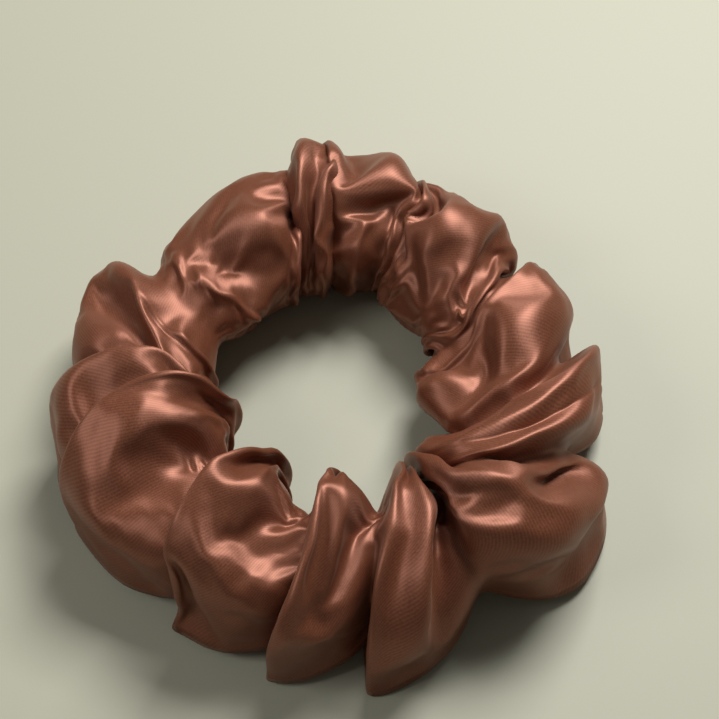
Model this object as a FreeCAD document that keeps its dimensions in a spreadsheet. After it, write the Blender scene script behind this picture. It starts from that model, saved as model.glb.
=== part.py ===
import FreeCAD
import Part
import math
import os

import Sketcher
from FreeCAD import Placement, Rotation, Vector

# A satin scrunchie: a sewn cloth tube bunched over a ring of flat elastic, lying on a table.
# Frame in millimetres: +Z up, +X through the closing seam, origin on the table under the ring's middle.
# Each size: its name in the sheet, its value, and what it measures.
SIZES = [
    ("gather_count", 14, "bunches of cloth round the ring"),
    ("ring_radius", 38.5, "ring's centre to the middle of the tube, where the elastic runs"),
    ("tube_girth", 102, "finished distance round the cloth tube"),
    ("cloth_wall", 0.9, "thickness of the bunched cloth"),
    ("settle_depth", 0.4, "how far each bunch flattens where it rests on the table"),
    ("seam_allowance", 5, "width of cloth turned inside at each seam"),
    ("closing_extra", 1, "how much further in the closing seam's allowance reaches"),
    ("seam_thickness", 0.5, "the two layers of cloth in a seam allowance"),
    ("seam_angle", -35, "degrees round the tube to the long seam, from outwards, negative below"),
    ("long_stitch_inset", 1.3, "tube wall to the long seam's stitches"),
    ("closing_stitch_inset", 0.5, "tube wall to the closing seam's stitches"),
    ("stitches_per_bunch", 8, "the long seam's stitches in one bunch"),
    ("thread_diameter", 0.3, "sewing thread"),
    ("thread_clearance", 0.05, "thread to the cloth that it lies on"),
    ("elastic_width", 6, "width of the flat elastic, which stands on edge"),
    ("elastic_thickness", 1.1, "thickness of the flat elastic"),
    ("elastic_room", 1.2, "elastic to the seam allowances round it"),
    ("lap_length", 14, "length over which the elastic's two ends lie over each other"),
    ("lap_step", 3, "length over which the outer end steps out over the inner one"),
    ("lap_clearance", 0.1, "between the two lapped ends"),
    ("strand_count", 6, "rubber strands in the elastic"),
    ("strand_side", 0.45, "side of a square-cut rubber strand"),
    ("strand_clearance", 0.03, "strand to the channel that the braid leaves for it"),
    ("strand_margin", 0.4, "braid left between the outer strands and the elastic's edges"),
    ("tack_count", 7, "zigzag bars that join the lapped ends"),
    ("tack_margin", 1.0, "ends of the lap to the zigzag"),
]
SHEET = "Sizes"


def half(expression):
    """Half of an expression."""
    return f"({expression}) / 2"


# Sizes that follow from the ones above, as expressions for the document.
BUNCH_RADIUS = f"{SHEET}.tube_girth / (2 * pi)"
TUBE_HEIGHT = f"({BUNCH_RADIUS} - {SHEET}.settle_depth)"
THREAD_OFFSET = f"({SHEET}.thread_clearance + {half(SHEET + '.thread_diameter')})"
LAP_PITCH = f"({SHEET}.elastic_thickness + {SHEET}.lap_clearance)"
ELASTIC_DEPTH = f"({LAP_PITCH} + {half(SHEET + '.elastic_thickness')} + 2 * {THREAD_OFFSET})"
ELASTIC_REACH = f"sqrt(({half(SHEET + '.elastic_width')})^2 + {ELASTIC_DEPTH}^2)"
TUNNEL_RADIUS = f"({ELASTIC_REACH} + {SHEET}.elastic_room)"
PINCH_RADIUS = f"({TUNNEL_RADIUS} + {SHEET}.seam_allowance + {SHEET}.cloth_wall)"
SECTOR = f"360 / {SHEET}.gather_count"
# The closing seam's rim ends inside the wall, halfway through what is left of it over the flat.
RIM_RADIUS = f"({BUNCH_RADIUS} - ({SHEET}.cloth_wall + {SHEET}.settle_depth) / 2)"
LAP_ANGLE = f"({SHEET}.lap_length / {SHEET}.ring_radius * 180 / pi)"
STEP_ANGLE = f"({SHEET}.lap_step / {SHEET}.ring_radius * 180 / pi)"


def sized(name):
    """The expression that reads one size from the sheet."""
    return f"{SHEET}.{name}"


def make_sheet(doc):
    """Writes the driving sizes into a spreadsheet, one aliased cell each."""
    sheet = doc.addObject("Spreadsheet::Sheet", SHEET)
    for row, (name, value, meaning) in enumerate(SIZES, start=1):
        sheet.set(f"A{row}", name)
        sheet.set(f"B{row}", str(value))
        sheet.set(f"C{row}", meaning)
        sheet.setAlias(f"B{row}", name)
    doc.recompute()
    return sheet


def new_body(doc, label):
    """An empty PartDesign body that becomes the sub-part of that name."""
    body = doc.addObject("PartDesign::Body", label)
    body.Label = label
    body.AllowCompound = True
    return body


def radial_sketch(body, name, turn="0"):
    """A sketch in a plane through the Z axis, turned from +X. Its x runs outwards, its y up."""
    sketch = body.newObject("Sketcher::SketchObject", name)
    plane = next(f for f in body.Origin.OriginFeatures if f.Role == "XZ_Plane")
    sketch.AttachmentSupport = [(plane, "")]
    sketch.MapMode = "FlatFace"
    sketch.AttachmentOffset = Placement(Vector(), Rotation(Vector(0, 1, 0), 1))
    sketch.setExpression("AttachmentOffset.Rotation.Angle", turn)
    return sketch


def pin_point(sketch, geometry, vertex, x, y):
    """Holds a sketch point at two expressions, measured from the sketch's origin."""
    for kind, expression in (("DistanceX", x), ("DistanceY", y)):
        value = float(sketch.evalExpression(expression))
        index = sketch.addConstraint(Sketcher.Constraint(kind, -1, 1, geometry, vertex, value))
        sketch.setExpression(f"Constraints[{index}]", expression)


def add_circle(sketch, x, y, radius):
    """A circle whose centre and radius follow expressions."""
    centre = Vector(sketch.evalExpression(x), sketch.evalExpression(y), 0)
    value = float(sketch.evalExpression(radius))
    circle = sketch.addGeometry(Part.Circle(centre, Vector(0, 0, 1), value))
    pin_point(sketch, circle, 3, x, y)
    index = sketch.addConstraint(Sketcher.Constraint("Radius", circle, value))
    sketch.setExpression(f"Constraints[{index}]", radius)


def add_polygon(sketch, corners):
    """A closed polygon whose corners follow pairs of expressions."""
    points = [Vector(sketch.evalExpression(x), sketch.evalExpression(y), 0) for x, y in corners]
    first = len(sketch.Geometry)
    for start, end in zip(points, points[1:] + points[:1]):
        sketch.addGeometry(Part.LineSegment(start, end))
    for i, (x, y) in enumerate(corners):
        following = first + (i + 1) % len(corners)
        sketch.addConstraint(Sketcher.Constraint("Coincident", first + i, 2, following, 1))
        pin_point(sketch, first + i, 1, x, y)


def round_the_tube(distance, across="0"):
    """A point in the long seam's frame: out from the tube's middle towards the seam, and across it."""
    cosine, sine = (f"{f}({sized('seam_angle')} * 1 deg)" for f in ("cos", "sin"))
    x = f"{sized('ring_radius')} + ({distance}) * {cosine} - ({across}) * {sine}"
    y = f"{TUBE_HEIGHT} + ({distance}) * {sine} + ({across}) * {cosine}"
    return x, y


def gathered_loft(body, name, draw, kind="PartDesign::AdditiveLoft"):
    """One bunch: a loft from crease to crest to crease, through sections made by draw(sketch, radius)."""
    stops = [
        ("crease", f"-{half(SECTOR)}", PINCH_RADIUS),
        ("crest", "0", BUNCH_RADIUS),
        ("end", half(SECTOR), PINCH_RADIUS),
    ]
    sketches = []
    for stop, turn, radius in stops:
        sketch = radial_sketch(body, f"{name}_{stop}", turn)
        draw(sketch, radius)
        sketches.append(sketch)
    body.Document.recompute()
    loft = body.newObject(kind, name)
    loft.Profile = sketches[0]
    loft.Sections = sketches[1:]
    return loft


def round_the_ring(body, name, features):
    """Repeats a bunch's features round the Z axis, once for each bunch."""
    pattern = body.newObject("PartDesign::PolarPattern", name)
    pattern.Originals = features
    axis = next(f for f in body.Origin.OriginFeatures if f.Role == "Z_Axis")
    pattern.Axis = (axis, [""])
    pattern.Angle = 360
    pattern.setExpression("Occurrences", sized("gather_count"))
    body.Tip = pattern
    body.Document.recompute()
    return pattern


def check_gain(feature, added, before):
    """Stops if a feature that joins the body doesn't add most of its own volume, and no more than that."""
    gained = feature.Shape.Volume - before
    if not added / 2 < gained < added:
        raise RuntimeError(f"{feature.Name} of {added:.1f} mm3 added {gained:.1f} mm3")


def make_sleeve(doc):
    """The bunched cloth tube, hollow, with both seam allowances turned inside and flats to rest on."""
    body = new_body(doc, "satin_sleeve")

    def tube(sketch, radius):
        add_circle(sketch, sized("ring_radius"), TUBE_HEIGHT, radius)

    def hollow(sketch, radius):
        add_circle(sketch, sized("ring_radius"), TUBE_HEIGHT, f"{radius} - {sized('cloth_wall')}")

    def allowance(sketch, radius):
        buried = f"{radius} - {half(sized('cloth_wall'))}"
        free = f"{radius} - {sized('cloth_wall')} - {sized('seam_allowance')}"
        side = half(sized("seam_thickness"))
        ends = [(free, f"-{side}"), (buried, f"-{side}"), (buried, side), (free, side)]
        add_polygon(sketch, [round_the_tube(*end) for end in ends])

    outside = gathered_loft(body, "tube_outside", tube)
    round_the_ring(body, "all_outsides", [outside])

    table = body.newObject("Sketcher::SketchObject", "table")
    plane = next(f for f in body.Origin.OriginFeatures if f.Role == "XY_Plane")
    table.AttachmentSupport = [(plane, "")]
    table.MapMode = "FlatFace"
    add_circle(table, "0", "0", f"{sized('ring_radius')} + 2 * {BUNCH_RADIUS}")
    settle = body.newObject("PartDesign::Pocket", "rest_on_table")
    settle.Profile = table
    settle.Type = "ThroughAll"
    doc.recompute()

    inside = gathered_loft(body, "tube_inside", hollow, "PartDesign::SubtractiveLoft")
    round_the_ring(body, "all_insides", [inside])
    before = body.Shape.Volume

    ring = radial_sketch(body, "closing_seam")
    free = f"{BUNCH_RADIUS} - {sized('cloth_wall')} - {sized('seam_allowance')} - {sized('closing_extra')}"
    add_circle(ring, sized("ring_radius"), TUBE_HEIGHT, RIM_RADIUS)
    add_circle(ring, sized("ring_radius"), TUBE_HEIGHT, free)
    flange = body.newObject("PartDesign::Pad", "closing_seam_allowance")
    flange.Profile = ring
    flange.SideType = "Symmetric"
    flange.setExpression("Length", sized("seam_thickness"))
    body.Tip = flange
    doc.recompute()
    check_gain(flange, flange.AddSubShape.Volume, before)

    before = flange.Shape.Volume
    seam = gathered_loft(body, "long_seam_allowance", allowance)
    pattern = round_the_ring(body, "all_allowances", [seam])
    check_gain(pattern, seam.AddSubShape.Volume * pattern.Occurrences, before)
    return body


def swept_thread(doc, label, diameter, points):
    """A closed thread: a round section carried along straight stitches, mitred where they meet."""
    path = Part.makePolygon(points + points[:1])
    section = Part.Wire([Part.makeCircle(diameter / 2, points[0], points[1] - points[0])])
    mitred = 1
    thread = doc.addObject("Part::Feature", label)
    thread.Label = label
    thread.Shape = path.makePipeShell([section], True, False, mitred)
    return thread


def make_long_seam_thread(doc, sheet, label, side):
    """One thread of the long seam's lockstitch, on the allowance's upper face, or lower if side is -1.

    A bunch's stitches follow the parabola through its two creases and its crest, as its cloth does.
    """
    across = f"{side} * ({half(sized('seam_thickness'))} + {THREAD_OFFSET})"

    def stop(radius, angle):
        distance = f"{radius} - {sized('cloth_wall')} - {sized('long_stitch_inset')}"
        outwards, up = (float(sheet.evalExpression(e)) for e in round_the_tube(distance, across))
        return Vector(outwards * math.cos(angle), outwards * math.sin(angle), up)

    count = int(sheet.gather_count)
    stitches = int(sheet.stitches_per_bunch)
    half_bunch = math.pi / count
    points = []
    for i in range(count):
        angle = 2 * half_bunch * i
        before = stop(PINCH_RADIUS, angle - half_bunch)
        crest = stop(BUNCH_RADIUS, angle)
        after = stop(PINCH_RADIUS, angle + half_bunch)
        for k in range(stitches):
            t = k / stitches
            rise = crest * (4 * t * (1 - t))
            points.append(before * ((1 - t) * (1 - 2 * t)) + rise - after * (t * (1 - 2 * t)))
    return swept_thread(doc, label, sheet.thread_diameter, points)


def make_closing_seam_thread(doc, label, side):
    """One thread of the closing seam, round the tube on one face of the flange."""
    thread = doc.addObject("Part::Torus", label)
    thread.Label = label
    inset = f"{sized('cloth_wall')} + {sized('closing_stitch_inset')}"
    thread.setExpression("Radius1", f"{BUNCH_RADIUS} - ({inset})")
    thread.setExpression("Radius2", half(sized("thread_diameter")))
    thread.Placement = Placement(Vector(), Rotation(Vector(1, 0, 0), 90))
    face = half(sized("seam_thickness"))
    thread.setExpression("Placement.Base.x", sized("ring_radius"))
    thread.setExpression("Placement.Base.y", f"{side} * ({face} + {THREAD_OFFSET})")
    thread.setExpression("Placement.Base.z", TUBE_HEIGHT)
    return thread


def strip(body, name, kinds, depth, height, middle):
    """A lapped strip: a band most of the way round, a step outwards, and an arc over the first end.

    kinds are the revolved and the lofted feature's types, depth and height half sizes, and middle its z.
    """
    revolved, lofted = kinds

    def section(stage, turn, radius):
        sketch = radial_sketch(body, f"{name}_{stage}", turn)
        corners = []
        for across, up in ("--", "+-", "++", "-+"):
            corners.append((f"{radius} {across} ({depth})", f"{middle} {up} ({height})"))
        add_polygon(sketch, corners)
        return sketch

    def turned(stage, turn, radius, angle):
        feature = body.newObject(revolved, f"{name}_{stage}_turn")
        feature.Profile = section(stage, turn, radius)
        axis = next(f for f in body.Origin.OriginFeatures if f.Role == "Z_Axis")
        feature.ReferenceAxis = (axis, [""])
        feature.setExpression("Angle", angle)
        return feature

    inner, outer = sized("ring_radius"), f"{sized('ring_radius')} + {LAP_PITCH}"
    begin = f"-{half(LAP_ANGLE)}"
    turned("band", begin, inner, f"360 - {STEP_ANGLE}")
    turned("lap", begin, outer, LAP_ANGLE)
    low = section("step_low", f"{begin} - {STEP_ANGLE}", inner)
    high = section("step_high", begin, outer)
    body.Document.recompute()
    step = body.newObject(lofted, f"{name}_step")
    step.Profile = low
    step.Sections = [high]
    body.Tip = step
    body.Document.recompute()


def strand_levels(sheet):
    """Heights of the strands' middles above the elastic's middle, as expressions."""
    count = int(sheet.strand_count)
    reach = f"({half(sized('elastic_width'))} - {sized('strand_margin')} - {half(sized('strand_side'))})"
    return [f"{TUBE_HEIGHT} + {reach} * {2 * i / (count - 1) - 1}" for i in range(count)]


def make_braid(doc, sheet):
    """The elastic's woven cover, a flat strip with a channel for each rubber strand."""
    body = new_body(doc, "elastic_braid")
    solid = ("PartDesign::Revolution", "PartDesign::AdditiveLoft")
    depth, height = half(sized("elastic_thickness")), half(sized("elastic_width"))
    strip(body, "braid", solid, depth, height, TUBE_HEIGHT)
    hollow = ("PartDesign::Groove", "PartDesign::SubtractiveLoft")
    side = f"{half(sized('strand_side'))} + {sized('strand_clearance')}"
    for i, level in enumerate(strand_levels(sheet)):
        strip(body, f"channel_{i + 1}", hollow, side, side, level)
    return body


def make_strands(doc, sheet):
    """The square-cut rubber strands that lie in the braid's channels."""
    body = new_body(doc, "elastic_rubber_strands")
    solid = ("PartDesign::Revolution", "PartDesign::AdditiveLoft")
    side = half(sized("strand_side"))
    for i, level in enumerate(strand_levels(sheet)):
        strip(body, f"strand_{i + 1}", solid, side, side, level)
    return body


def make_join_thread(doc, sheet, label, outside):
    """One thread of the lap's zigzag: bars on one face, and a leg into the lap at each turn.

    The legs pass between the two outer strands at each edge, so that they pierce no rubber.
    """
    radius = sheet.thread_diameter / 2
    pitch = sheet.elastic_thickness + sheet.lap_clearance
    lap_middle = sheet.ring_radius + pitch / 2
    face = pitch / 2 + sheet.elastic_thickness / 2 + sheet.thread_clearance + radius
    face_radius = lap_middle + (face if outside else -face)
    leg_end = lap_middle + (radius if outside else -radius)
    tube_height = sheet.tube_girth / (2 * math.pi) - sheet.settle_depth
    outer_strand = sheet.elastic_width / 2 - sheet.strand_margin - sheet.strand_side / 2
    swing = outer_strand * (1 - 1 / (int(sheet.strand_count) - 1))
    reach = (sheet.lap_length / 2 - sheet.tack_margin) / sheet.ring_radius
    count = int(sheet.tack_count)

    turns = []
    for i in range(count + 1):
        angle = reach * (2 * i / count - 1)
        outwards = Vector(math.cos(angle), math.sin(angle), 0)
        turns.append((outwards, tube_height + swing * (-1) ** i))
    pieces = []
    for outwards, z in turns:
        corner = outwards * face_radius + Vector(0, 0, z)
        leg = outwards * (leg_end - face_radius)
        pieces.append(Part.makeSphere(radius, corner))
        pieces.append(Part.makeCylinder(radius, leg.Length, corner, leg))
    for (out_a, z_a), (out_b, z_b) in zip(turns, turns[1:]):
        start = out_a * face_radius + Vector(0, 0, z_a)
        end = out_b * face_radius + Vector(0, 0, z_b)
        pieces.append(Part.makeCylinder(radius, (end - start).Length, start, end - start))
    thread = doc.addObject("Part::Feature", label)
    thread.Label = label
    thread.Shape = pieces[0].fuse(pieces[1:])
    return thread


def check_document(doc, parts):
    """Stops if any object failed to compute or any sub-part isn't one or more valid closed solids."""
    for item in doc.Objects:
        if {"Invalid", "Error"} & set(item.State):
            raise RuntimeError(f"{item.Name} failed: {item.State}")
    for part in parts:
        shape = part.Shape
        if shape.isNull() or not shape.isValid() or not shape.Solids:
            raise RuntimeError(f"{part.Label} has no valid solid")


def check_file(path):
    """Stops if a written sub-part doesn't read back as valid solids."""
    written = Part.Shape()
    written.read(path)
    if not written.isValid() or not written.Solids:
        raise RuntimeError(f"{path} reads back invalid")


def main():
    doc = FreeCAD.newDocument("scrunchie")
    sheet = make_sheet(doc)
    parts = [
        make_sleeve(doc),
        make_long_seam_thread(doc, sheet, "long_seam_needle_thread", 1),
        make_long_seam_thread(doc, sheet, "long_seam_bobbin_thread", -1),
        make_closing_seam_thread(doc, "closing_seam_needle_thread", 1),
        make_closing_seam_thread(doc, "closing_seam_bobbin_thread", -1),
        make_braid(doc, sheet),
        make_strands(doc, sheet),
        make_join_thread(doc, sheet, "elastic_join_needle_thread", True),
        make_join_thread(doc, sheet, "elastic_join_bobbin_thread", False),
    ]
    doc.recompute()
    check_document(doc, parts)
    os.makedirs("parts", exist_ok=True)
    for part in parts:
        path = f"parts/{part.Label}.step"
        part.Shape.exportStep(path)
        check_file(path)
        print(part.Label, len(part.Shape.Solids), "solid(s)", round(part.Shape.Volume, 1), "mm3")


main()
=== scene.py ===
"""A satin hair scrunchie: a sewn tube of satin gathered on a ring of braided elastic.

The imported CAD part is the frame. The elastic keeps its CAD shapes. The sleeve is a cloth tube, gathered by
formula into leaning bunches and then let settle by a short cloth simulation. The stitches follow the settled
cloth.
"""

import math

import bpy
import numpy as np
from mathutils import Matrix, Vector


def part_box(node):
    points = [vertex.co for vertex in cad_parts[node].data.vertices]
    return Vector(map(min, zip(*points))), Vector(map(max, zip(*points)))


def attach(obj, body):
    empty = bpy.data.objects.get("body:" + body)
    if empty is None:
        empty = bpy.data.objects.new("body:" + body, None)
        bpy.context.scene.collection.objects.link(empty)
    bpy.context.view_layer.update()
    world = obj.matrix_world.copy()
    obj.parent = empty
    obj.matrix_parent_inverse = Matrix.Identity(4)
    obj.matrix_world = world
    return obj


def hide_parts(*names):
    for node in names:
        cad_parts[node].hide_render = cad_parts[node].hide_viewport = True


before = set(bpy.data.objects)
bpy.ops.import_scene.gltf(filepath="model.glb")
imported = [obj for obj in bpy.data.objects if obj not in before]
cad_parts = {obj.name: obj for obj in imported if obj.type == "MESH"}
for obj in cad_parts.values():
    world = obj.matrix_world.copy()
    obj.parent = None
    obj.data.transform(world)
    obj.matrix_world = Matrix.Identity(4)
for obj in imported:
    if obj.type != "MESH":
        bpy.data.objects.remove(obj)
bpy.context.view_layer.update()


# ---- rubber strands ----
# Six strands cut square from natural-rubber sheet, laid side by side and braided over. They do the pulling,
# and nobody sees them unless the braid is cut. Each is soft and slightly dusty with talc.
def linear(hex_colour):
    """An sRGB hex colour as linear RGBA."""
    channels = [int(hex_colour[i : i + 2], 16) / 255 for i in (0, 2, 4)]
    return [c / 12.92 if c <= 0.04045 else ((c + 0.055) / 1.055) ** 2.4 for c in channels] + [1.0]


def add(tree, kind, settings=None, inputs=None):
    """A new node of that kind with its settings, and with its inputs set to values or linked to sockets."""
    node = tree.nodes.new(kind)
    for name, value in (settings or {}).items():
        setattr(node, name, value)
    for name, value in (inputs or {}).items():
        if isinstance(value, bpy.types.NodeSocket):
            tree.links.new(value, node.inputs[name])
        else:
            node.inputs[name].default_value = value
    return node


def material(name):
    """A new material, its node tree and its shader."""
    made = bpy.data.materials.new(name)
    made.use_nodes = True
    return made, made.node_tree, made.node_tree.nodes["Principled BSDF"]


def dress(piece, finish):
    """Gives a piece that one material."""
    piece.data.materials.clear()
    piece.data.materials.append(finish)


# Talc leaves soft lighter clouds a millimetre or so across on the matt off-white rubber.
rubber, tree, shader = material("square-cut natural rubber")
shader.inputs["Roughness"].default_value = 0.62
shader.inputs["IOR"].default_value = 1.52
place = add(tree, "ShaderNodeTexCoord").outputs["Object"]
clouds = add(tree, "ShaderNodeTexNoise", None, {"Vector": place, "Scale": 900.0, "Detail": 3.0})
ramp = add(tree, "ShaderNodeValToRGB", None, {"Fac": clouds.outputs["Fac"]})
ramp.color_ramp.elements[0].color = linear("cfc6b4")
ramp.color_ramp.elements[1].color = linear("e6dfd0")
tree.links.new(ramp.outputs["Color"], shader.inputs["Base Color"])
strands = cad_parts["elastic_rubber_strands"]
dress(strands, rubber)


# ---- braid ----
# The elastic's cover, a flat tube braided in brown polyester yarn. Its two families of yarn cross over and
# under each other at a slant, so the surface is a field of small raised diamonds.
braid, tree, shader = material("braided polyester")
shader.inputs["Roughness"].default_value = 0.55
shader.inputs["IOR"].default_value = 1.57
shader.inputs["Sheen Weight"].default_value = 0.3
place = add(tree, "ShaderNodeTexCoord").outputs["Object"]
axes = add(tree, "ShaderNodeSeparateXYZ", None, {"Vector": place})
turn = add(tree, "ShaderNodeMath", {"operation": "ARCTAN2"}, {0: axes.outputs["Y"], 1: axes.outputs["X"]})
# One turn holds 240 yarns each way, about 1 mm apart round the ring.
round_ring = add(tree, "ShaderNodeMath", {"operation": "MULTIPLY"}, {0: turn.outputs[0], 1: 240.0})
waves = []
for slant in (6000.0, -6000.0):
    shifted = add(tree, "ShaderNodeMath", {"operation": "MULTIPLY"}, {0: axes.outputs["Z"], 1: slant})
    both = {0: round_ring.outputs[0], 1: shifted.outputs[0]}
    phase = add(tree, "ShaderNodeMath", {"operation": "ADD"}, both)
    waves.append(add(tree, "ShaderNodeMath", {"operation": "SINE"}, {0: phase.outputs[0]}))
both = {0: waves[0].outputs[0], 1: waves[1].outputs[0]}
crossing = add(tree, "ShaderNodeMath", {"operation": "MULTIPLY"}, both)
ramp = add(tree, "ShaderNodeValToRGB", None, {"Fac": crossing.outputs[0]})
ramp.color_ramp.elements[0].color = linear("2a1711")
ramp.color_ramp.elements[1].color = linear("5a3626")
tree.links.new(ramp.outputs["Color"], shader.inputs["Base Color"])
raised = {"Height": crossing.outputs[0], "Strength": 0.5, "Distance": 0.0002}
relief = add(tree, "ShaderNodeBump", None, raised)
tree.links.new(relief.outputs["Normal"], shader.inputs["Normal"])
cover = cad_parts["elastic_braid"]
dress(cover, braid)


# ---- elastic join ----
# The braid's two ends are lapped and sewn through with a zigzag of polyester thread, a needle thread on the
# outside and a bobbin thread on the inside. The twist of the thread shows as fine slanting ribs.
thread, tree, shader = material("spun polyester thread")
shader.inputs["Roughness"].default_value = 0.5
shader.inputs["IOR"].default_value = 1.57
shader.inputs["Sheen Weight"].default_value = 0.4
place = add(tree, "ShaderNodeTexCoord").outputs["Object"]
slanted = add(tree, "ShaderNodeMapping", None, {"Vector": place, "Rotation": (0.5, 0.4, 0.6)})
twist = {"Vector": slanted.outputs[0], "Scale": 1200.0, "Distortion": 0.5}
ribs = add(tree, "ShaderNodeTexWave", None, twist)
ramp = add(tree, "ShaderNodeValToRGB", None, {"Fac": ribs.outputs["Fac"]})
ramp.color_ramp.elements[0].color = linear("3d2218")
ramp.color_ramp.elements[1].color = linear("6e4430")
tree.links.new(ramp.outputs["Color"], shader.inputs["Base Color"])
for name in ("elastic_join_needle_thread", "elastic_join_bobbin_thread"):
    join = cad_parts[name]
    dress(join, thread)


# ---- satin sleeve ----
# One strip of brown polyester satin sewn into a tube, turned right side out, threaded on the elastic and
# closed into a ring. It is far longer than the elastic, so it gathers into thirteen bunches that lean over
# one another.
MM = 0.001
CUT_WIDTH = 112.0
# This is fitted to the area of the shape below, whose lines along the ring are longer, about 480 mm.
CUT_LENGTH = 380.0
ALLOWANCE = 5.0
CLOTH_THICKNESS = 0.3

# The grid has a row for each hoop round the tube and a column for each line along the ring. The tube's
# middle runs round an oval, and lies 15.6 mm up. The long seam is the column on the outer side, below the
# middle.
HOOPS = 256
ROUND = 48
SEAM_COLUMN = 43
RING_X = 37.0
RING_Y = 41.0
MIDDLE = 15.6

# The bunches, counter-clockwise from the back left. Spread is the share of the ring that each one takes, and
# shingle is how far it leans, minus towards the bunch before it, and plus towards the one after it. Size,
# depth and shift are in millimetres, height is a share of the size, and slant is in degrees.
BUNCHES = [
    # spread, shingle, size, height, slant of its creases, depth of its small folds, shift outwards
    (44, -0.50, 14.8, 0.98, 5, 1.6, -1.7),
    (28, -0.50, 17.5, 0.90, 3, 1.2, 0.0),
    (20, -0.80, 17.5, 0.86, -9, 1.0, 0.0),
    (34, -1.20, 17.5, 0.96, -11, 1.0, -1.5),
    (30, -1.10, 17.0, 0.98, -3, 1.0, -2.2),
    (21, -1.10, 18.5, 0.92, 3, 1.2, -1.5),
    (19, -0.90, 20.0, 0.86, 2, 1.2, -1.0),
    (25, 0.30, 20.0, 0.92, -9, 1.2, 0.0),
    (21, 0.40, 17.5, 0.92, -17, 1.2, 0.0),
    (27, 0.50, 17.0, 0.92, -11, 1.8, 0.0),
    (47, 0.50, 14.6, 1.00, -6, 1.8, -2.2),
    (27, 0.40, 17.0, 1.00, -5, 2.4, 0.7),
    (17, -0.40, 17.0, 1.00, 1, 2.0, 0.7),
]
spread, shingle, size, high, slant, ripple, shift = np.array(BUNCHES, float).T
spread = np.radians(360.0) * spread / spread.sum()
first_crease = math.radians(108.0)
starts = np.concatenate([[0.0], np.cumsum(spread)])[:-1]

# For each point of the grid: the bunch it is in, how far along that bunch it is, and its angle round the
# tube, from the outer side and upwards.
share = np.arange(HOOPS) / HOOPS
edges = np.append(starts, math.tau) / math.tau
which = np.searchsorted(edges, share, side="right") - 1
part = (share - edges[which]) / (edges[which + 1] - edges[which])
BUNCH_SHARE, TUBE_ANGLE = np.meshgrid(part, np.arange(ROUND) / ROUND * math.tau, indexing="ij")
WHICH = np.repeat(which[:, None], ROUND, axis=1)


def shared(values):
    """A bunch's value, blended into its neighbours' over the third of it beside each crease."""
    weight = 0.5 * np.clip(1 - np.minimum(BUNCH_SHARE, 1 - BUNCH_SHARE) * 3, 0, 1)
    before = values[(WHICH - 1) % len(values)]
    after = values[(WHICH + 1) % len(values)]
    beside = np.where(BUNCH_SHARE < 0.5, before, after)
    return values[WHICH] * (1 - weight) + beside * weight


def shingled(p):
    """Place along the ring and height of a bunch that laps over the one before it.

    The cloth rises steeply and hangs back over its own crease, turns at a ridge a fifth of the way along,
    and then falls slowly until it goes in under the next bunch.
    """
    back = p * (1 - p) ** 5 / 0.067
    rise = np.clip(p / 0.17, 0, 1) ** 0.6
    return p**1.5 - 0.26 * back, rise * (1 - p**2.3) ** 0.8


even_place = BUNCH_SHARE - 0.10 * np.sin(math.tau * BUNCH_SHARE)
even_height = np.clip(1 - np.abs(2 * BUNCH_SHARE - 1) ** 2.0, 0, 1) ** 0.65
before_place, before_height = shingled(BUNCH_SHARE)
after_place, after_height = shingled(1 - BUNCH_SHARE)
lean = shingle[WHICH]
amount = np.abs(lean)
lapped_place = np.where(lean < 0, before_place, 1 - after_place)
lapped_height = np.where(lean < 0, before_height, after_height)
PLACE = amount * lapped_place + (1 - amount) * even_place
HEIGHT = amount * lapped_height + (1 - amount) * even_height

# Small folds run from the hole side of each bunch, slant across it and fade towards the long seam.
seeded = np.random.default_rng(7)
phase = seeded.uniform(0, math.tau, len(BUNCHES))[WHICH]
number = seeded.choice([1.5, 2.0], len(BUNCHES))[WHICH]
folds = np.sin(math.tau * number * BUNCH_SHARE + phase + 1.8 * np.sin(TUBE_ANGLE + phase))
folds = folds * (0.25 + 0.75 * np.clip(np.cos((TUBE_ANGLE - 2.3) / 1.6), 0, 1) ** 2)

# Where the cloth goes in behind a curl it leaves a deep hollow. Each is given by its bunch, its place along
# the bunch and round the tube in degrees, its reach both ways, how it slants, and its depth in millimetres.
HOLLOWS = [
    (0, 0.18, 95, 0.08, 45, 0.10, 7.0),
    (0, 0.62, 115, 0.07, 40, -0.08, 5.0),
    (1, 0.60, 110, 0.12, 35, 0.10, 4.0),
    (3, 0.78, 125, 0.09, 30, 0.08, 6.0),
    (4, 0.82, 132, 0.09, 32, 0.10, 7.0),
    (5, 0.78, 115, 0.10, 45, 0.10, 6.0),
    (6, 0.35, 75, 0.10, 60, 0.08, 6.0),
    (6, 0.78, 80, 0.10, 60, 0.08, 6.0),
    (7, 0.25, 125, 0.10, 35, 0.05, 4.0),
    (7, 0.76, 38, 0.11, 26, -0.10, 9.0),
    (8, 0.75, 110, 0.10, 35, -0.10, 5.0),
    (9, 0.50, 120, 0.14, 22, 0.00, 5.0),
    (10, 0.16, 125, 0.10, 30, 0.00, 7.0),
    (10, 0.70, 90, 0.07, 50, -0.10, 5.0),
    (11, 0.60, 80, 0.13, 50, 0.05, 7.0),
    (12, 0.50, 95, 0.14, 50, 0.20, 5.0),
]
hollow = np.zeros_like(BUNCH_SHARE)
for bunch, place_along, place_round, reach_along, reach_round, slanting, deep in HOLLOWS:
    around = (TUBE_ANGLE - math.radians(place_round) + math.pi) % math.tau - math.pi
    from_it = (BUNCH_SHARE - place_along - slanting * around) / reach_along
    hollow += deep * (WHICH == bunch) * np.exp(-(from_it**2) - (around / math.radians(reach_round)) ** 2)
hollow = hollow * np.clip(np.minimum(BUNCH_SHARE, 1 - BUNCH_SHARE) * 8, 0, 1)

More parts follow.
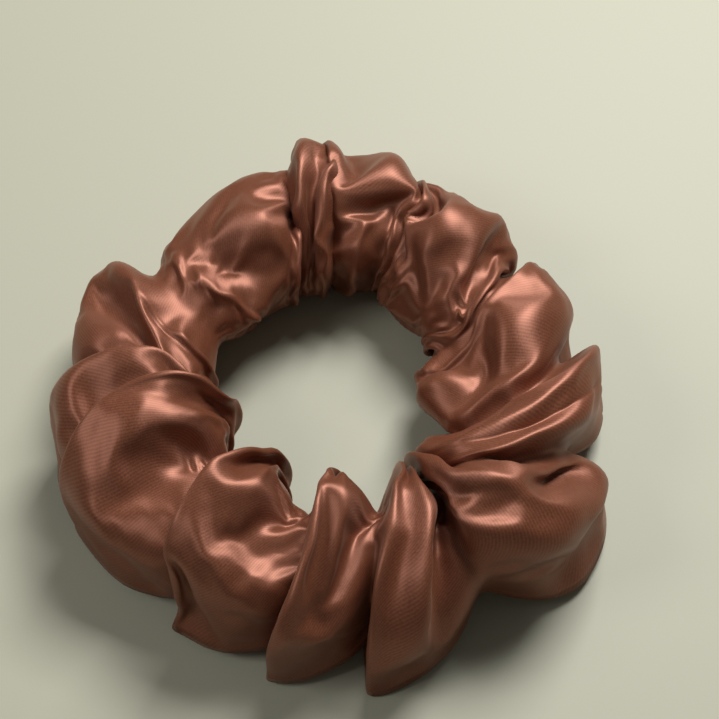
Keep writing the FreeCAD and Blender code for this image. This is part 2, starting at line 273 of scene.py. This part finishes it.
# The long seam's allowances stiffen the outer lower side, so the cloth turns a corner there. Nowhere is the
# tube drawn in further than CORE, and it flattens softly a little above what it lies on.
seam_angle = (SEAM_COLUMN - ROUND) / ROUND * math.tau
off_seam = (TUBE_ANGLE - seam_angle + math.pi) % math.tau - math.pi
corner = 0.94 + 0.26 * np.exp(-np.abs(off_seam) / 0.30)
CORE = 6.5
LIES_AT = 0.3
FLATTENING = 1.5
reach = CORE + (shared(size) * corner - CORE) * HEIGHT + shared(ripple) * folds * np.sqrt(HEIGHT)
reach = np.maximum(reach - hollow, CORE)
slanted_by = shared(np.radians(slant)) * np.cos(TUBE_ANGLE + 0.3)
angle = first_crease + starts[WHICH] + spread[WHICH] * PLACE - slanted_by
across_x = RING_Y * np.cos(angle)
across_y = RING_X * np.sin(angle)
across = np.hypot(across_x, across_y)
out = reach * np.cos(TUBE_ANGLE) * 1.03 + shared(shift)
x = RING_X * np.cos(angle) + across_x / across * out
y = RING_Y * np.sin(angle) + across_y / across * out
z = MIDDLE + reach * np.sin(TUBE_ANGLE) * shared(high)
z = LIES_AT + np.logaddexp(0, (z - LIES_AT) * FLATTENING) / FLATTENING
gathered = np.stack([x, y, z], axis=-1)


def grid_faces(rows, columns):
    """The quads of a grid closed both ways, as a list, wound so that they face out of the tube."""
    r, c = np.meshgrid(np.arange(rows), np.arange(columns), indexing="ij")
    corners = [(r, c), (r + 1, c), (r + 1, c + 1), (r, c + 1)]
    quads = np.stack([(a % rows) * columns + b % columns for a, b in corners], axis=-1)
    return quads.reshape(-1, 4).tolist()


def new_piece(name, points, faces, smooth=True):
    """A new mesh object at the origin, from an array of points and a list of faces."""
    mesh = bpy.data.meshes.new(name)
    mesh.from_pydata(points.reshape(-1, 3).tolist(), [], faces)
    mesh.polygons.foreach_set("use_smooth", np.full(len(mesh.polygons), smooth))
    mesh.update()
    piece = bpy.data.objects.new(name, mesh)
    bpy.context.scene.collection.objects.link(piece)
    return piece


# The simulation runs at twenty times the size, where Blender's cloth is steady. The cloth is given eight
# parts in a hundred more than the formula's shape, so that it buckles, and it settles round a ring of room
# that the elastic needs: 1.2 mm more than the braid above and below, and 1.85 mm more than its lap outwards.
# The places are rounded, so that tiny differences in the CAD meshes don't reach the cloth.
TIMES = 20.0
FRAMES = 10
SPARE_CLOTH = 0.08
braid_low, braid_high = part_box("elastic_braid")
ROOM_REACH = 3.2
ROOM_RADIUS = round(braid_high.x / MM + 1.85 - ROOM_REACH, 2)
ROOM_MIDDLE = round((braid_low.z + braid_high.z) / 2 / MM, 2)
ROOM_RISE = round((braid_high.z - braid_low.z) / 2 / MM + 1.2, 2)


def settle(points):
    """The grid after a short cloth simulation with light air pressure, weight and contact."""
    cloth = new_piece("settling", points * MM * TIMES, grid_faces(HOOPS, ROUND))
    around, over = np.meshgrid(np.arange(96) / 96 * math.tau, np.arange(16) / 16 * math.tau, indexing="ij")
    out = ROOM_RADIUS + ROOM_REACH * np.cos(over)
    room_z = ROOM_MIDDLE + ROOM_RISE * np.sin(over)
    room = np.stack([out * np.cos(around), out * np.sin(around), room_z], axis=-1)
    elastic_room = new_piece("elastic_room", room * MM * TIMES, grid_faces(96, 16))
    square = np.array([[-9, -9, 0], [9, -9, 0], [9, 9, 0], [-9, 9, 0]], float)
    ground = new_piece("ground", square, [[0, 1, 2, 3]])
    for solid in (elastic_room, ground):
        solid.modifiers.new("Collision", "COLLISION")
        solid.collision.thickness_outer = 0.004
        solid.collision.cloth_friction = 8
    cloth_modifier = cloth.modifiers.new("Cloth", "CLOTH")
    setting = cloth_modifier.settings
    setting.quality = 6
    setting.mass = 0.15
    setting.tension_stiffness = 25
    setting.compression_stiffness = 25
    setting.shear_stiffness = 5
    setting.bending_stiffness = 0.12
    setting.tension_damping = 15
    setting.compression_damping = 15
    setting.shear_damping = 10
    setting.bending_damping = 2
    setting.air_damping = 3
    setting.shrink_min = -SPARE_CLOTH
    setting.use_pressure = True
    setting.uniform_pressure_force = 0.03
    setting.effector_weights.gravity = 0.4
    contact = cloth_modifier.collision_settings
    contact.distance_min = 0.004
    contact.collision_quality = 3
    contact.use_self_collision = True
    contact.self_distance_min = 0.012
    contact.self_friction = 5
    scene = bpy.context.scene
    cloth_modifier.point_cache.frame_start = 1
    cloth_modifier.point_cache.frame_end = FRAMES
    for number_of_frame in range(1, FRAMES + 1):
        scene.frame_set(number_of_frame)
    settled = cloth.evaluated_get(bpy.context.evaluated_depsgraph_get())
    flat = np.empty(HOOPS * ROUND * 3, np.float32)
    settled.data.vertices.foreach_get("co", flat)
    for used in (cloth, elastic_room, ground):
        bpy.data.objects.remove(used)
    scene.frame_set(1)
    return flat.reshape(HOOPS, ROUND, 3).astype(float) / (MM * TIMES)


settled = settle(gathered)

# The long seam stands up as a thin lip, because the allowances inside push its corner out. The cloth's
# lowest points lie just above the table top.
SEAM_LIP = 0.8
LOWEST = 0.15
hoop_centre = settled.mean(axis=1)
seam_out = settled[:, SEAM_COLUMN] - hoop_centre
seam_out = seam_out / np.linalg.norm(seam_out, axis=1, keepdims=True)
settled[:, SEAM_COLUMN] += SEAM_LIP * seam_out
settled[..., 2] = np.maximum(settled[..., 2], LOWEST)

# The closing seam crosses the right-hand bunch. Its row is drawn in, and the rows beside it stand close to
# it.
CLOSING_BUNCH = 8
closing_at = (starts[CLOSING_BUNCH] + 0.45 * spread[CLOSING_BUNCH]) / math.tau
CLOSING_ROW = int(np.argmin(np.abs(share - closing_at)))
inward = settled[CLOSING_ROW].mean(0) - settled[CLOSING_ROW]
inward = inward / np.linalg.norm(inward, axis=1, keepdims=True)
seam_line = settled[CLOSING_ROW] + 0.55 * inward
for beside in (CLOSING_ROW - 1, CLOSING_ROW + 1):
    settled[beside] = seam_line + 0.45 * (settled[beside] - seam_line) - 0.25 * inward
settled[CLOSING_ROW] = seam_line

sleeve = new_piece("satin_sleeve_cloth", settled * MM, grid_faces(HOOPS, ROUND))
mesh = sleeve.data
row, column = np.meshgrid(np.arange(HOOPS), np.arange(ROUND), indexing="ij")
along = np.stack([row, row + 1, row + 1, row], axis=-1) / HOOPS * CUT_LENGTH * MM
tube_girth = CUT_WIDTH - 2 * ALLOWANCE
girth = np.stack([column, column, column + 1, column + 1], axis=-1) / ROUND * tube_girth * MM
layer = mesh.uv_layers.new(name="cut_cloth")
layer.data.foreach_set("uv", np.stack([along, girth], axis=-1).astype(np.float32).ravel())
ends = np.empty(len(mesh.edges) * 2, np.int32)
mesh.edges.foreach_get("vertices", ends)
ends = ends.reshape(-1, 2)
on_long_seam = (ends % ROUND == SEAM_COLUMN).all(axis=1)
on_closing_seam = (ends // ROUND == CLOSING_ROW).all(axis=1)
crease = mesh.attributes.new("crease_edge", "FLOAT", "EDGE")
crease.data.foreach_set("value", (0.9 * on_long_seam + 0.8 * on_closing_seam).astype(np.float32))
rounder = sleeve.modifiers.new("Subdivision", "SUBSURF")
rounder.levels = 1
rounder.render_levels = 1
cloth_thickness = sleeve.modifiers.new("Cloth thickness", "SOLIDIFY")
cloth_thickness.thickness = CLOTH_THICKNESS * MM
cloth_thickness.offset = -1

# Satin floats its yarns over several others, so it shines along them and goes almost black where it turns
# away. The weave's real rows are taken as about 0.25 mm apart. They are drawn 0.45 mm apart, or they would
# be lost at this distance.
satin, tree, shader = material("woven polyester satin")
shader.inputs["Metallic"].default_value = 0.5
shader.inputs["IOR"].default_value = 1.57
shader.inputs["Anisotropic"].default_value = 0.7
shader.inputs["Sheen Weight"].default_value = 0.10
shader.inputs["Sheen Roughness"].default_value = 0.35
shader.inputs["Sheen Tint"].default_value = linear("e0b79a")
cut = add(tree, "ShaderNodeUVMap", {"uv_map": "cut_cloth"}).outputs["UV"]
diagonal = add(tree, "ShaderNodeMapping", None, {"Vector": cut, "Rotation": (0, 0, math.radians(33))})
floats = {"Vector": diagonal.outputs[0], "Scale": 700.0, "Distortion": 1.5}
rows = add(tree, "ShaderNodeTexWave", None, floats)
grain = add(tree, "ShaderNodeTexNoise", None, {"Vector": cut, "Scale": 2600.0, "Detail": 2.0})
faint_rows = add(tree, "ShaderNodeMath", {"operation": "MULTIPLY"}, {0: rows.outputs["Fac"], 1: 0.35})
yarn = add(tree, "ShaderNodeMath", {"operation": "ADD"}, {0: faint_rows.outputs[0], 1: grain.outputs["Fac"]})
yarn = add(tree, "ShaderNodeMath", {"operation": "MULTIPLY"}, {0: yarn.outputs[0], 1: 0.75})
ramp = add(tree, "ShaderNodeValToRGB", None, {"Fac": yarn.outputs[0]})
ramp.color_ramp.elements[0].color = linear("552b1d")
ramp.color_ramp.elements[1].color = linear("875139")
ramp.color_ramp.elements[1].position = 0.75
tree.links.new(ramp.outputs["Color"], shader.inputs["Base Color"])
dull = add(tree, "ShaderNodeMapRange", None, {"Value": grain.outputs["Fac"], "To Min": 0.42, "To Max": 0.56})
tree.links.new(dull.outputs[0], shader.inputs["Roughness"])
relief = add(tree, "ShaderNodeBump", None, {"Height": yarn.outputs[0], "Strength": 0.10, "Distance": 0.0001})
tree.links.new(relief.outputs["Normal"], shader.inputs["Normal"])
tangent = add(tree, "ShaderNodeTangent", {"direction_type": "UV_MAP", "uv_map": "cut_cloth"})
tree.links.new(tangent.outputs["Tangent"], shader.inputs["Tangent"])
dress(sleeve, satin)
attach(sleeve, "sleeve")
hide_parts("satin_sleeve")


# ---- seam stitches ----
# The long seam and the closing seam are lockstitched inside out, so after turning their threads lie inside,
# on the two faces of the seam allowance. The needle thread is on one face and the bobbin thread on the
# other. Here about one point in twelve of the long seam's stitches still comes out of the cloth.
STITCH_DEPTH = 1.2
STITCH_TO_SIDE = 0.15
STITCH_SIDES = 6
STITCH_PLACES = np.array([0.06, 0.14, 0.5, 0.86, 0.94])
STITCH_RADII = np.array([0.02, 0.09, 0.11, 0.09, 0.02])


def stitches(name, path, inward, side):
    """Small six-sided spindles, one to each step of a closed path, moved in along the cloth and to one side.

    Each is five hexagons across the step, thin at both ends, with walls between them and a cap on each end.
    """
    start = path + STITCH_DEPTH * inward
    step = np.roll(start, -1, 0) - start
    forward = step / np.linalg.norm(step, axis=1, keepdims=True)
    beside = np.cross(forward, inward)
    beside = beside / np.linalg.norm(beside, axis=1, keepdims=True)
    down = np.cross(beside, forward)
    centres = start[:, None] + step[:, None] * STITCH_PLACES[None, :, None]
    centres = centres + side * STITCH_TO_SIDE * beside[:, None]
    turned = (np.arange(STITCH_SIDES) / STITCH_SIDES * math.tau)[:, None]
    hexagon = np.cos(turned) * beside[:, None, None] + np.sin(turned) * down[:, None, None]
    points = centres[:, :, None] + STITCH_RADII[None, :, None, None] * hexagon

    last_ring = len(STITCH_PLACES) - 1
    r, c = np.meshgrid(np.arange(last_ring), np.arange(STITCH_SIDES), indexing="ij")
    corners = [(r, c), (r, c + 1), (r + 1, c + 1), (r + 1, c)]
    wall = np.stack([a * STITCH_SIDES + b % STITCH_SIDES for a, b in corners], axis=-1).reshape(-1, 4)
    sides = np.arange(STITCH_SIDES)
    caps = np.stack([sides[::-1], last_ring * STITCH_SIDES + sides])
    first_point = (np.arange(len(path)) * (last_ring + 1) * STITCH_SIDES)[:, None, None]
    walls = (wall + first_point).reshape(-1, 4).tolist()
    ends = (caps + first_point).reshape(-1, STITCH_SIDES).tolist()
    return new_piece(name, points * MM, walls + ends, smooth=False)


normals = np.empty(HOOPS * ROUND * 3, np.float32)
sleeve.data.vertices.foreach_get("normal", normals)
into_tube = -normals.reshape(HOOPS, ROUND, 3).astype(float)
for seam, path, into in (
    ("long_seam", settled[:, SEAM_COLUMN], into_tube[:, SEAM_COLUMN]),
    ("closing_seam", settled[CLOSING_ROW], into_tube[CLOSING_ROW]),
):
    for which_thread, side in (("needle", 1), ("bobbin", -1)):
        piece = stitches(f"{seam}_{which_thread}_stitches", path, into, side)
        dress(piece, thread)
        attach(piece, "sleeve")
        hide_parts(f"{seam}_{which_thread}_thread")


# ---- floor ----
# A plain pale table top, warm grey and matt.
table = np.array([[-3, -3, 0], [3, -3, 0], [3, 3, 0], [-3, 3, 0]], float)
floor = new_piece("floor", table, [[0, 1, 2, 3]])
pale, tree, shader = material("matt pale table")
shader.inputs["Base Color"].default_value = linear("9d9c8a")
shader.inputs["Roughness"].default_value = 0.6
dress(floor, pale)


# ---- light and camera ----
# A large soft window behind and to the right, a weaker one to the left, and pale sky light all round.
world = bpy.data.worlds.new("sky")
world.use_nodes = True
world.node_tree.nodes["Background"].inputs["Color"].default_value = linear("ecebe4")
world.node_tree.nodes["Background"].inputs["Strength"].default_value = 0.17
bpy.context.scene.world = world
for name, where, across_window, power in (
    ("window", (0.20, 0.36, 0.55), 0.30, 7.2),
    ("far_window", (-0.45, -0.10, 0.45), 0.25, 1.3),
):
    light = bpy.data.lights.new(name, "AREA")
    light.size = across_window
    light.energy = power
    lamp = bpy.data.objects.new(name, light)
    bpy.context.scene.collection.objects.link(lamp)
    lamp.location = where
    lamp.rotation_euler = (Vector((0, 0, 0.01)) - Vector(where)).to_track_quat("-Z", "Y").to_euler()
eye = bpy.data.cameras.new("camera")
eye.lens = 90
eye.clip_start = 0.01
camera = bpy.data.objects.new("camera", eye)
bpy.context.scene.collection.objects.link(camera)
rise = math.radians(58)
back = Vector((0, -math.cos(rise), math.sin(rise)))
camera.location = Vector((0.0065, 0.0075, 0.012)) + back * 0.36
camera.rotation_euler = (-back).to_track_quat("-Z", "Y").to_euler()
bpy.context.scene.camera = camera
bpy.context.scene.view_settings.view_transform = "Standard"
